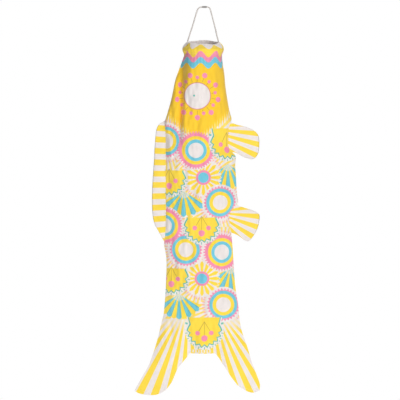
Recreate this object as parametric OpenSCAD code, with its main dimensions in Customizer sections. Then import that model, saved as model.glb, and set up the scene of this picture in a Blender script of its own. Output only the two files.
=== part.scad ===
// Carp windsock: a printed fabric fish, open at its mouth and its tail, hung from a cord bridle.
// +Z is up, +X is to the fish's belly side and -Y is its front. The origin is the top of the bridle.

/* [Mouth] */
// Radius of the hoop, measured to the middle of its wire
hoop_r = 52.5; // [51.5:0.5:53]
// Thickness of the hoop's wire
wire_d = 3; // [2:0.5:3]
// Length of the tube that joins the ends of the hoop
ferrule_length = 20; // [12:1:40]
// Radius of the mouth's rim, above the hoop
rim_r = 46; // [45:0.5:47]

/* [Cord] */
// Thickness of the bridle's cord
cord_d = 3.4; // [2.5:0.1:3.6]
// Length of the thread binding that joins the cord's ends
splice_length = 13; // [8:1:14]
// Thickness of the thread binding's wall
splice_wall = 0.9; // [0.5:0.1:1.5]

/* [Fabric] */
// Thickness of one fabric panel, with room for its seams
cloth = 1.2; // [0.8:0.1:1.5]
// Height of the mouth's rim
rim_z = -99; // [-100:0.5:-98.5]
// Height at which the hem ends and the body panels begin
hem_z = -136; // [-138:0.5:-134]
// Height of the bend between the head and the trunk
neck_z = -321; // [-323:1:-319]
// Height of the bend between the trunk and the tail
tail_bend_z = -678; // [-680:1:-676]
// Height of the open end of the tail
tail_end_z = -981; // [-982:1:-978]

/* [Hidden] */
hoop_z = -118;              // height of the hoop
hem_r = 53;                 // radius of the hem's lower edge
bend_gap = 1;               // room at the middle of a bend
bend_slope = 0.47;          // how steeply a panel's end leans away from its bend
root_gap = 0.8;             // room between a fin's hinge line and the fin
dorsal_x = -107;            // hinge lines of the fins
pectoral_x = 74.5;
ventral_x = 85;
crotch_x = 34;              // half the width of the tail's straight end
tail_x = -3;                // middle of the tail's end
lobe_slope = 0.283;         // rise of the lobes' hinge lines, per millimetre outwards
lobe_gap = 3;               // room between the tail's end and the lobes' hinge lines
around = 24;                // facets across a panel
cord_sides = 8;

// The body's two edges and half its depth, at each height
left_edge = [[hem_z, -hem_r], [-171, -66], [-205, -77], [-239, -85], [-273, -94], [-307, -103],
    [-330, -104.8], [-645, -104.8], [-680, -107], [-750, -105], [-817, -108], [-868, -113],
    [-902, -121], [-953, -132], [-985, -132]];
right_edge = [[hem_z, hem_r], [-171, 57], [-205, 62], [-239, 67], [-273, 73], [-307, 77],
    [-330, 72.5], [-414, 72.5], [-434, 93], [-545, 93.5], [-566, 82.5], [-630, 81],
    [-680, 84], [-750, 88], [-817, 96], [-868, 102], [-902, 110], [-953, 122], [-985, 122]];
half_depth = [[hem_z, hem_r], [-171, 50], [-205, 46], [-239, 42], [-273, 37], [-321, 33],
    [-404, 29], [-477, 26], [-630, 25], [-680, 24], [-750, 22], [-817, 19], [-868, 16],
    [-902, 13], [-953, 10], [-985, 9]];

// The cord's route from its left end to its right end, as [x, z]
cord_route = [[-43, -96.5], [-38.5, -81], [-34, -67], [-30, -55], [-26.5, -43], [-22.5, -30],
    [-19, -18], [-16, -9], [-13.5, -5], [-10, -2.2], [-6, -0.8], [-2.5, -0.3], [4, -0.3], [10.5, -0.3],
    [14, -0.8], [17.5, -2.6], [19.8, -6], [21.5, -11], [24, -20], [26.5, -30], [30, -43], [33, -55],
    [36, -67], [39, -81], [43, -96.5]];
splice_x = 4;

// The outlines' corners, as [x, z]: from the top of the root, round the free edge, to its foot
dorsal_corners = [[-112, -331], [-125, -338], [-132, -352], [-135, -390], [-139, -445], [-143, -500],
    [-144, -560], [-139, -605], [-128, -630], [-113, -652]];
pectoral_corners = [[100, -331], [120, -336], [139, -343], [153, -355], [158.5, -375], [158, -398],
    [154, -417], [142, -428], [119, -424], [95, -409]];
ventral_corners = [[96, -564], [120, -567], [141, -573], [156, -581], [159.5, -592], [157, -616],
    [148, -637], [137, -653], [127, -661], [115, -655], [102, -643]];
left_lobe_corners = [[-145, -985], [-156, -1020], [-178, -1052], [-195, -1083], [-190, -1093],
    [-168, -1098], [-136, -1100], [-108, -1089], [-86, -1057], [-71, -1021], [-54, -1000]];
right_lobe_corners = [[53, -997], [64, -1018], [80, -1050], [97, -1073], [118, -1087], [141, -1095],
    [160, -1090], [164, -1072], [151, -1038], [140, -1005], [134, -985]];

// A list that runs on falling heights, read at one height
function at_height(list, z) = lookup(z, list);

// Height of the tail's end, or of the lobes' hinge lines below it
function tail_edge(x) = tail_end_z + lobe_slope * max(0, abs(x - tail_x) - crotch_x);

// One point on a panel. side is -1 in front and 1 behind, inset is the depth under its outer face.
// z runs from top to foot, and lean_top and lean_foot slope the ends away from a bend.
function panel_point(z, t, side, inset) =
    let (
        left = at_height(left_edge, z) + inset,
        right = at_height(right_edge, z) - inset,
        depth = at_height(half_depth, z) - inset
    )
    [(left + right) / 2 - (right - left) / 2 * cos(180 * t), side * depth * sin(180 * t)];

// One ring of a panel: the outer face from left to right, then the inner face back
function panel_ring(z, share, top, foot, lean_top, lean_foot, side) = [
    for (k = [0:2 * around + 1])
        let (
            outer = k <= around,
            t = (outer ? k : 2 * around + 1 - k) / around,
            p = panel_point(z, t, side, outer ? 0 : cloth),
            end = foot == tail_end_z ? tail_edge(p[0]) : foot,
            upper = top - lean_top * abs(p[1]),
            lower = end + lean_foot * abs(p[1])
        )
        [p[0], p[1], upper + (lower - upper) * share]
];

// Half of the body's tube between two heights
module panel(top, foot, lean_top, lean_foot, side, rings) {
    size = 2 * around + 2;
    points = [for (i = [0:rings]) each
        panel_ring(top + (foot - top) * i / rings, i / rings, top, foot, lean_top, lean_foot, side)];
    walls = [for (i = [0:rings - 1], k = [0:size - 1])
        [i * size + k, i * size + (k + 1) % size, (i + 1) * size + (k + 1) % size, (i + 1) * size + k]];
    // each end is a strip of quads between the outer and the inner face
    ends = [for (i = [0, rings], k = [0:around - 1])
        let (q = [i * size + k, i * size + size - 1 - k, i * size + size - 2 - k, i * size + k + 1])
        i == 0 ? q : [q[3], q[2], q[1], q[0]]];
    faces = concat(walls, ends);
    polyhedron(points, side < 0 ? [for (f = faces) [for (j = [len(f) - 1:-1:0]) f[j]]] : faces, 4);
}

// A point of a smooth curve through the corners c, at share t between the corners i and i + 1
function curve_point(c, i, t) =
    let (
        n = len(c),
        a = c[max(i - 1, 0)],
        b = c[i],
        d = c[min(i + 1, n - 1)],
        e = c[min(i + 2, n - 1)]
    )
    ((2 * b) + (d - a) * t + (2 * a - 5 * b + 4 * d - e) * t * t
        + (3 * b - a - 3 * d + e) * t * t * t) / 2;

// The corners joined by a smooth curve
function smooth(c, steps) = concat(
    [for (i = [0:len(c) - 2], j = [0:steps - 1]) curve_point(c, i, j / steps)],
    [c[len(c) - 1]]);

// A flat layer of cloth in front of (side -1) or behind (side 1) the middle plane
module layer(outline, side) {
    rotate([90, 0, 0])
        translate([0, 0, side < 0 ? 0 : -cloth])
            linear_extrude(cloth)
                polygon(outline);
}

// A fin's outline, from the top of its root to the foot of its root
function fin_outline(corners, root, top, foot) =
    concat([[root, top]], smooth(corners, 3), [[root, foot]]);

// A lobe's outline: side is -1 for the left lobe and 1 for the right one
function lobe_outline(corners, side) =
    let (
        near = tail_x + side * (crotch_x + 1),
        far = tail_x + side * 133,
        hinge = [near, tail_edge(near) - lobe_gap - root_gap],
        tip = [far, tail_edge(far) - lobe_gap - root_gap]
    )
    side < 0 ? concat([hinge, tip], smooth(corners, 3)) : concat([tip, hinge], smooth(corners, 3));

// Centre line of the cord
function cord_at(i) = [cord_route[i][0], 0, cord_route[i][1]];

// Direction of the cord at one of its route's points
function cord_way(i) =
    let (d = cord_at(min(i + 1, len(cord_route) - 1)) - cord_at(max(i - 1, 0)))
    d / norm(d);

module bridle_cord() {
    last = len(cord_route) - 1;
    points = [for (i = [0:last], k = [0:cord_sides - 1])
        let (
            way = cord_way(i),
            side = cross(way, [0, 1, 0]),
            a = 360 * (k + 0.5) / cord_sides
        )
        cord_at(i) + cord_d / 2 * (cos(a) * side + sin(a) * [0, 1, 0])];
    walls = [for (i = [0:last - 1], k = [0:cord_sides - 1])
        let (j = (k + 1) % cord_sides)
        [i * cord_sides + k, (i + 1) * cord_sides + k, (i + 1) * cord_sides + j, i * cord_sides + j]];
    start = [[for (k = [0:cord_sides - 1]) k]];
    finish = [[for (k = [cord_sides - 1:-1:0]) last * cord_sides + k]];
    color("gainsboro") polyhedron(points, concat(walls, start, finish), 4);
}

module top_splice() {
    color("gray")
        translate([splice_x - splice_length / 2, 0, -0.3])
            rotate([0, 90, 0])
                difference() {
                    cylinder(h = splice_length, r = cord_d / 2 + splice_wall, $fn = 32);
                    translate([0, 0, -1])
                        cylinder(h = splice_length + 2, r = cord_d / 2 + 0.05, $fn = 32);
                }
}

// The cord's hidden end at the left: down inside the sleeve, then once round the hoop's wire
module hoop_tie() {
    strand = cord_d * 0.7;
    loop_r = wire_d / 2 + strand / 2 + 0.05;
    foot_x = hoop_r - loop_r;
    head_x = rim_r + 1;
    rise = rim_z - 5.6 - hoop_z;
    color("gainsboro") {
        translate([-hoop_r, 0, hoop_z])
            rotate([90, 0, 0])
                rotate_extrude($fn = 48)
                    translate([loop_r, 0])
                        circle(d = strand, $fn = 24);
        translate([-foot_x, 0, hoop_z])
            rotate([0, atan((foot_x - head_x) / rise), 0])
                cylinder(h = rise, d = strand, $fn = 24);
    }
}

module left_hoop_tie() { hoop_tie(); }
module right_hoop_tie() { mirror([1, 0, 0]) hoop_tie(); }

module mouth_hoop() {
    color("ivory")
        translate([0, 0, hoop_z])
            rotate([0, 0, 91])
                rotate_extrude(angle = 358, $fn = 96)
                    translate([hoop_r, 0])
                        circle(d = wire_d, $fn = 24);
}

module hoop_ferrule() {
    turn = ferrule_length / hoop_r * 180 / PI;
    color("silver")
        translate([0, 0, hoop_z])
            rotate([0, 0, 90 - turn / 2])
                rotate_extrude(angle = turn, $fn = 96)
                    translate([hoop_r, 0])
                        difference() {
                            circle(d = wire_d + 1.6, $fn = 24);
                            circle(d = wire_d + 0.1, $fn = 24);
                        }
}

// The hem is a sleeve round the hoop: its outer wall bulges over the wire, its top is the rim
module mouth_hem() {
    skin = 0.9;
    inner_r = rim_r - 1.6;
    outside = [[rim_r - 1.2, rim_z], [rim_r, rim_z - 0.6], [rim_r + 6, rim_z - 6],
        [hoop_r + 5, hoop_z + 4], [hoop_r + 5.4, hoop_z], [hoop_r + 4.6, hoop_z - 5],
        [hem_r + 1, hem_z + 8], [hem_r, hem_z]];
    inside = [[hem_r - skin, hem_z], [hem_r - 2, hem_z + 5], [inner_r, hem_z + 8],
        [inner_r, rim_z - 1], [rim_r - 1.2, rim_z]];
    sleeve = [[inner_r + skin, rim_z - 3], [rim_r - 0.4, rim_z - 3], [rim_r + 5.2, rim_z - 7],
        [hoop_r + 4.1, hoop_z + 4], [hoop_r + 4.5, hoop_z], [hoop_r + 3.7, hoop_z - 5],
        [hem_r, hem_z + 9], [inner_r + skin, hem_z + 9]];
    color("gold")
        rotate_extrude($fn = 96)
            difference() {
                polygon(concat(outside, inside));
                polygon(sleeve);
            }
}

module head_front_panel() { color("gold") panel(hem_z, neck_z + bend_gap, 0, bend_slope, -1, 12); }
module head_rear_panel() { color("gold") panel(hem_z, neck_z + bend_gap, 0, bend_slope, 1, 12); }

module trunk_panel(side) {
    color("khaki")
        panel(neck_z - bend_gap, tail_bend_z + bend_gap, bend_slope, bend_slope, side, 24);
}
module trunk_front_panel() { trunk_panel(-1); }
module trunk_rear_panel() { trunk_panel(1); }

module tail_front_panel() { color("gold") panel(tail_bend_z - bend_gap, tail_end_z, bend_slope, 0, -1, 14); }
module tail_rear_panel() { color("gold") panel(tail_bend_z - bend_gap, tail_end_z, bend_slope, 0, 1, 14); }

dorsal = fin_outline(dorsal_corners, dorsal_x - root_gap, -331, -652);
pectoral = fin_outline(pectoral_corners, pectoral_x + root_gap, -330, -402);
ventral = fin_outline(ventral_corners, ventral_x + root_gap, -568, -634);
left_lobe = lobe_outline(left_lobe_corners, -1);
right_lobe = lobe_outline(right_lobe_corners, 1);

module dorsal_fin_front() { color("khaki") layer(dorsal, -1); }
module dorsal_fin_rear() { color("khaki") layer(dorsal, 1); }
module pectoral_fin_front() { color("gold") layer(pectoral, -1); }
module pectoral_fin_rear() { color("gold") layer(pectoral, 1); }
module ventral_fin_front() { color("gold") layer(ventral, -1); }
module ventral_fin_rear() { color("gold") layer(ventral, 1); }
module left_lobe_front() { color("khaki") layer(left_lobe, -1); }
module left_lobe_rear() { color("khaki") layer(left_lobe, 1); }
module right_lobe_front() { color("khaki") layer(right_lobe, -1); }
module right_lobe_rear() { color("khaki") layer(right_lobe, 1); }

bridle_cord();
top_splice();
left_hoop_tie();
right_hoop_tie();
mouth_hoop();
hoop_ferrule();
mouth_hem();
head_front_panel();
head_rear_panel();
trunk_front_panel();
trunk_rear_panel();
tail_front_panel();
tail_rear_panel();
dorsal_fin_front();
dorsal_fin_rear();
pectoral_fin_front();
pectoral_fin_rear();
ventral_fin_front();
ventral_fin_rear();
left_lobe_front();
left_lobe_rear();
right_lobe_front();
right_lobe_rear();
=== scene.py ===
"""A fish-shaped fabric windsock, open at its mouth and tail, hung from a cord bridle.

Each sub-assembly is a class that builds its own meshes from sizes in millimetres. The cloth is cut at
the joints.
"""
from __future__ import annotations

import logging
import math
from dataclasses import dataclass, field
from enum import Enum
from typing import Iterable, Sequence

import bpy
import numpy as np
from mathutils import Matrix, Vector

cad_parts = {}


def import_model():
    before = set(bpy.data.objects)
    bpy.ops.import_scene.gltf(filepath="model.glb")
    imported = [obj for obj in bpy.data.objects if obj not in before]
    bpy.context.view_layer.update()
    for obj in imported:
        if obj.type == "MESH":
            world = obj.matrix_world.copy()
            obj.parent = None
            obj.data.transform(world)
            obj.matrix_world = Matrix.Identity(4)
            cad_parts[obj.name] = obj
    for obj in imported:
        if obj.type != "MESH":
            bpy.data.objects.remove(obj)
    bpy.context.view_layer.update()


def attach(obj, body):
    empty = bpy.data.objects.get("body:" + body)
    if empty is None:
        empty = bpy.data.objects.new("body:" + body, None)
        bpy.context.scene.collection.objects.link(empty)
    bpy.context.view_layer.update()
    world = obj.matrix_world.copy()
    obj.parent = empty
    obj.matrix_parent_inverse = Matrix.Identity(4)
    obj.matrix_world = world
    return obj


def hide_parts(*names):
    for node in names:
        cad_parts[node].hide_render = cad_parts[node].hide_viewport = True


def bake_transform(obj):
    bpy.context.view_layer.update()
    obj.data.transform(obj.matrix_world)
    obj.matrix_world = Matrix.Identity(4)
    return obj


LOG = logging.getLogger("windsock")
MM = 0.001
FRONT = -1
REAR = 1
STITCH_LIFT = np.array([0.0, 0.1, 0.0])

Number = "Value | float"
Point = tuple[float, float]


# --- small geometry helpers -------------------------------------------------------------------------


def smoothstep(share: np.ndarray | float) -> np.ndarray | float:
    """A share from 0 to 1, eased at both ends and clamped outside."""
    s = np.clip(share, 0.0, 1.0)
    return s * s * (3.0 - 2.0 * s)


def curve_through(points: Sequence[Sequence[float]], steps: int) -> np.ndarray:
    """A smooth curve through a few points.

    Args:
        points: the points, each with two or three coordinates.
        steps: how many stretches to put between two neighbouring points.

    Returns:
        The curve's points, one row each.
    """
    p = np.array(points, float)
    padded = np.vstack([p[:1], p, p[-1:]])
    rows = []
    for i in range(len(p) - 1):
        a, b, c, d = padded[i : i + 4]
        for t in np.arange(steps) / steps:
            bend = (2 * a - 5 * b + 4 * c - d) * t * t + (3 * b - a - 3 * c + d) * t**3
            rows.append(0.5 * (2 * b + (c - a) * t + bend))
    rows.append(p[-1])
    return np.array(rows)


def run_lengths(curve: np.ndarray) -> np.ndarray:
    """The length of a curve from its start to each of its points."""
    return np.concatenate([[0.0], np.cumsum(np.linalg.norm(np.diff(curve, axis=0), axis=1))])


def along(curve: np.ndarray, shares: np.ndarray) -> np.ndarray:
    """The points of a curve at the given shares of its length."""
    run = run_lengths(curve)
    return np.stack([np.interp(shares * run[-1], run, curve[:, k]) for k in range(curve.shape[1])], 1)


@dataclass(frozen=True)
class Profile:
    """A smooth value over height, through (height, value) points from the highest down."""

    points: tuple[Point, ...]

    def at(self, z: np.ndarray) -> np.ndarray:
        """The value at each height, by cubic pieces with matched slopes."""
        table = np.array(self.points, float)[::-1]
        heights, values = table[:, 0], table[:, 1]
        slopes = np.gradient(values, heights)
        z = np.clip(z, heights[0], heights[-1])
        i = np.clip(np.searchsorted(heights, z) - 1, 0, len(heights) - 2)
        span = heights[i + 1] - heights[i]
        t = (z - heights[i]) / span
        start = (1 + 2 * t) * (1 - t) ** 2 * values[i] + t * (1 - t) ** 2 * span * slopes[i]
        end = t * t * (3 - 2 * t) * values[i + 1] + t * t * (t - 1) * span * slopes[i + 1]
        return start + end


def add_object(name: str, data: bpy.types.ID) -> bpy.types.Object:
    """A new object in the scene, made of the data."""
    made = bpy.data.objects.new(name, data)
    bpy.context.scene.collection.objects.link(made)
    return made


def mesh_object(
    name: str, points: np.ndarray, faces: Iterable[Sequence[int]], maps: dict[str, np.ndarray]
) -> bpy.types.Object:
    """A smooth-shaded mesh object in the scene.

    Args:
        name: the piece's name.
        points: its points in millimetres, one row each.
        faces: its faces, as tuples of point numbers.
        maps: for each UV map's name, a coordinate pair for each point, in metres.

    Returns:
        The new object.
    """
    mesh = bpy.data.meshes.new(name)
    mesh.from_pydata((points * MM).tolist(), [], [tuple(f) for f in faces])
    corners = np.zeros(len(mesh.loops), np.int32)
    mesh.loops.foreach_get("vertex_index", corners)
    for title, pairs in maps.items():
        layer = mesh.uv_layers.new(name=title)
        layer.data.foreach_set("uv", pairs[corners].astype(np.float32).ravel())
    mesh.shade_smooth()
    mesh.update()
    return add_object(name, mesh)


def ring_faces(rings: int, size: int) -> list[tuple[int, ...]]:
    """The quads between closed rings of points that follow each other downwards."""
    return [
        (i * size + k, (i + 1) * size + k, (i + 1) * size + (k + 1) % size, i * size + (k + 1) % size)
        for i in range(rings - 1)
        for k in range(size)
    ]


def evaluated_mesh(made: bpy.types.Object) -> bpy.types.Mesh:
    """A plain mesh of what an object's modifiers make of it."""
    graph = bpy.context.evaluated_depsgraph_get()
    return bpy.data.meshes.new_from_object(made.evaluated_get(graph), depsgraph=graph)


def apply_modifiers(piece: bpy.types.Object) -> None:
    """Puts the evaluated mesh in the piece's place and removes its modifiers."""
    mesh = evaluated_mesh(piece)
    piece.modifiers.clear()
    piece.data = mesh


def thicken(piece: bpy.types.Object, thickness: float) -> None:
    """Gives a sheet its real thickness, in millimetres, inwards from its outer face."""
    solid = piece.modifiers.new("thickness", "SOLIDIFY")
    solid.thickness = thickness * MM
    solid.offset = -1.0
    apply_modifiers(piece)
    piece.data.set_sharp_from_angle(angle=math.radians(70))


# --- shader writing ---------------------------------------------------------------------------------


class Value:
    """A number in a material's node tree; Python's operators on it add Math nodes."""

    def __init__(self, board: "NodeBoard", socket: bpy.types.NodeSocket) -> None:
        """Wraps one output socket of a node on the board."""
        self.board = board
        self.socket = socket

    def math(self, operation: str, *others: Number, clamp: bool = False) -> "Value":
        """The result of one Math node on this number and the others."""
        return self.board.math(operation, self, *others, clamp=clamp)

    def __add__(self, other: Number) -> "Value":
        """Sum."""
        return self.math("ADD", other)

    def __sub__(self, other: Number) -> "Value":
        """Difference."""
        return self.math("SUBTRACT", other)

    def __rsub__(self, other: float) -> "Value":
        """Difference from a plain number."""
        return self.board.math("SUBTRACT", other, self)

    def __mul__(self, other: Number) -> "Value":
        """Product."""
        return self.math("MULTIPLY", other)

    def __truediv__(self, other: Number) -> "Value":
        """Quotient."""
        return self.math("DIVIDE", other)

    __radd__ = __add__
    __rmul__ = __mul__

    def wave(self, period: Number) -> "Value":
        """A cosine of this number, 1 at 0 and again after each period."""
        return (self * (2 * math.pi) / period).math("COSINE")

    def zigzag(self, period: float) -> "Value":
        """A triangle wave of this number, 0 at 0 and 1 in the middle of each period."""
        return self.math("PINGPONG", period / 2) * (2 / period)

    def above(self, edge: Number, softness: float) -> "Value":
        """1 where this number is above the edge, 0 below, with a soft step between."""
        return ((self - edge) / softness).math("ADD", 0.5, clamp=True)


class NodeWork:
    """A node tree, with one method that adds any node."""

    def __init__(self, tree: bpy.types.NodeTree) -> None:
        """Takes up a tree."""
        self.tree = tree

    def feed(self, socket: bpy.types.NodeSocket, value: object) -> None:
        """Links a Value or a socket to an input, or sets the input's own number."""
        if isinstance(value, Value):
            self.tree.links.new(value.socket, socket)
        elif isinstance(value, bpy.types.NodeSocket):
            self.tree.links.new(value, socket)
        else:
            socket.default_value = value

    def node(
        self, kind: str, settings: dict[str, object] | None = None, inputs: dict[object, object] | None = None
    ) -> bpy.types.Node:
        """Adds a node.

        Args:
            kind: the node's type.
            settings: its properties, which are set first.
            inputs: for each input's name or number, its value or link.

        Returns:
            The new node.
        """
        added = self.tree.nodes.new(kind)
        for title, setting in (settings or {}).items():
            setattr(added, title, setting)
        for title, value in (inputs or {}).items():
            self.feed(added.inputs[title], value)
        return added


class NodeBoard(NodeWork):
    """A material's node tree."""

    def __init__(self, name: str) -> None:
        """Starts a material with an empty tree, one Principled shader and its output."""
        self.material = bpy.data.materials.new(name)
        self.material.use_nodes = True
        super().__init__(self.material.node_tree)
        self.tree.nodes.clear()
        self.shader = self.node("ShaderNodeBsdfPrincipled")
        self.node("ShaderNodeOutputMaterial", inputs={"Surface": self.shader.outputs["BSDF"]})

    def dress(self, surface: dict[str, object]) -> bpy.types.Material:
        """Sets or links the shader's inputs by name and returns the finished material."""
        for title, value in surface.items():
            self.feed(self.shader.inputs[title], value)
        return self.material

    def math(self, operation: str, *numbers: Number, clamp: bool = False) -> Value:
        """One Math node on up to three numbers."""
        settings = {"operation": operation, "use_clamp": clamp}
        return Value(self, self.node("ShaderNodeMath", settings, dict(enumerate(numbers))).outputs[0])

    def vector(self, operation: str, a: object, b: object) -> bpy.types.Node:
        """One Vector Math node on two vectors."""
        return self.node("ShaderNodeVectorMath", {"operation": operation}, {0: a, 1: b})

    def mix_vector(self, factor: Value, a: object, b: object) -> bpy.types.NodeSocket:
        """The vector a where the factor is 0 and b where it is 1."""
        mixed = self.node("ShaderNodeMix", {"data_type": "VECTOR"}, {0: factor, 4: a, 5: b})
        return mixed.outputs[1]

    def mix_colour(self, factor: Number, a: object, b: object, blend: str = "MIX") -> bpy.types.NodeSocket:
        """The colour a where the factor is 0 and b where it is 1."""
        settings = {"data_type": "RGBA", "blend_type": blend, "clamp_factor": True}
        return self.node("ShaderNodeMix", settings, {0: factor, 6: a, 7: b}).outputs[2]

    def split(self, vector: object) -> tuple[Value, Value, Value]:
        """The three parts of a vector."""
        parts = self.node("ShaderNodeSeparateXYZ", inputs={0: vector}).outputs
        return Value(self, parts[0]), Value(self, parts[1]), Value(self, parts[2])

    def noise(self, place: object, scale: float, detail: float = 2.0) -> Value:
        """A smooth random number over the surface, from 0 to 1."""
        made = self.node("ShaderNodeTexNoise", {"noise_dimensions": "3D"},
                         {"Vector": place, "Scale": scale, "Detail": detail})
        return Value(self, made.outputs[0])

    def bump(self, height: Value, strength: float, distance: float) -> bpy.types.NodeSocket:
        """A bumped normal from a height, in metres of relief at full strength."""
        made = self.node("ShaderNodeBump", inputs={"Strength": strength, "Distance": distance,
                                                   "Height": height})
        return made.outputs["Normal"]

    def uv(self, name: str) -> bpy.types.NodeSocket:
        """A UV map of the piece, scaled from metres to millimetres."""
        place = self.node("ShaderNodeUVMap", {"uv_map": name}).outputs[0]
        return self.node("ShaderNodeVectorMath", {"operation": "SCALE"}, {0: place, 3: 1000.0}).outputs[0]


class Ink(Enum):
    """The printing inks and the cloth's own white, as sRGB bytes."""

    WHITE = (238, 230, 227)
    YELLOW = (255, 221, 74)
    HEAD = (255, 208, 52)
    PALE_YELLOW = (255, 228, 120)
    PINK = (246, 146, 178)
    BLUE = (116, 203, 224)
    TEAL = (96, 190, 172)
    OLIVE = (176, 150, 70)
    CORD = (222, 214, 208)
    THREAD = (176, 172, 168)
    SEAM = (236, 224, 196)

    @property
    def linear(self) -> tuple[float, float, float, float]:
        """The ink's colour for a shader's socket."""
        share = [c / 255 for c in self.value]
        lit = [s / 12.92 if s <= 0.04045 else ((s + 0.055) / 1.055) ** 2.4 for s in share]
        return lit[0], lit[1], lit[2], 1.0


# --- finishes ---------------------------------------------------------------------------------------


@dataclass(frozen=True)
class Polar:
    """A place seen from a motif's middle: offsets, distance and angle from straight down."""

    x: Value
    y: Value
    radius: Value
    angle: Value


@dataclass(frozen=True)
class Cloth:
    """The weave, sheen and slight mottling that every piece of the printed cloth shares."""

    thread: float = 0.7
    relief: float = 0.00012
    roughness: float = 0.82
    sheen: float = 0.25

    def finish(self, board: NodeBoard, colour: object) -> bpy.types.Material:
        """Joins the printed colour to a woven surface.

        Args:
            board: the material's node tree.
            colour: the printed colour's socket.

        Returns:
            The finished material.
        """
        place = board.uv("weave")
        across, up, _ = board.split(place)
        grain = board.noise(place, 0.9, 3.0)
        blotch = board.noise(place, 0.035, 2.0)
        shade = board.node("ShaderNodeMapRange", inputs={0: grain + blotch, 1: 0.6, 2: 1.4, 3: 0.93, 4: 1.04})
        tone = board.node("ShaderNodeCombineXYZ", inputs=dict.fromkeys(range(3), shade.outputs[0]))
        painted = board.mix_colour(1.0, colour, tone.outputs[0], "MULTIPLY")
        weave = across.wave(self.thread).math("MAXIMUM", up.wave(self.thread)) * 0.5 + grain
        creases = board.noise(place, 0.06, 4.0)
        return board.dress({
            "Base Color": painted,
            "Roughness": grain * 0.12 + (self.roughness - 0.06),
            "Normal": board.bump(weave + creases * 6.0, 0.6, self.relief),
            "Sheen Weight": self.sheen,
            "Sheen Roughness": 0.5,
            "Specular IOR Level": 0.25,
        })


@dataclass
class PrintSheet:
    """The cloth while it's printed: its colour so far, and where each point lies in the pattern."""

    board: NodeBoard
    place: bpy.types.NodeSocket
    colour: bpy.types.NodeSocket

    def band(self, mask: Value, ink: Ink) -> None:
        """Prints an ink over the colour where the mask is 1."""
        self.colour = self.board.mix_colour(mask, self.colour, ink.linear)


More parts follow.
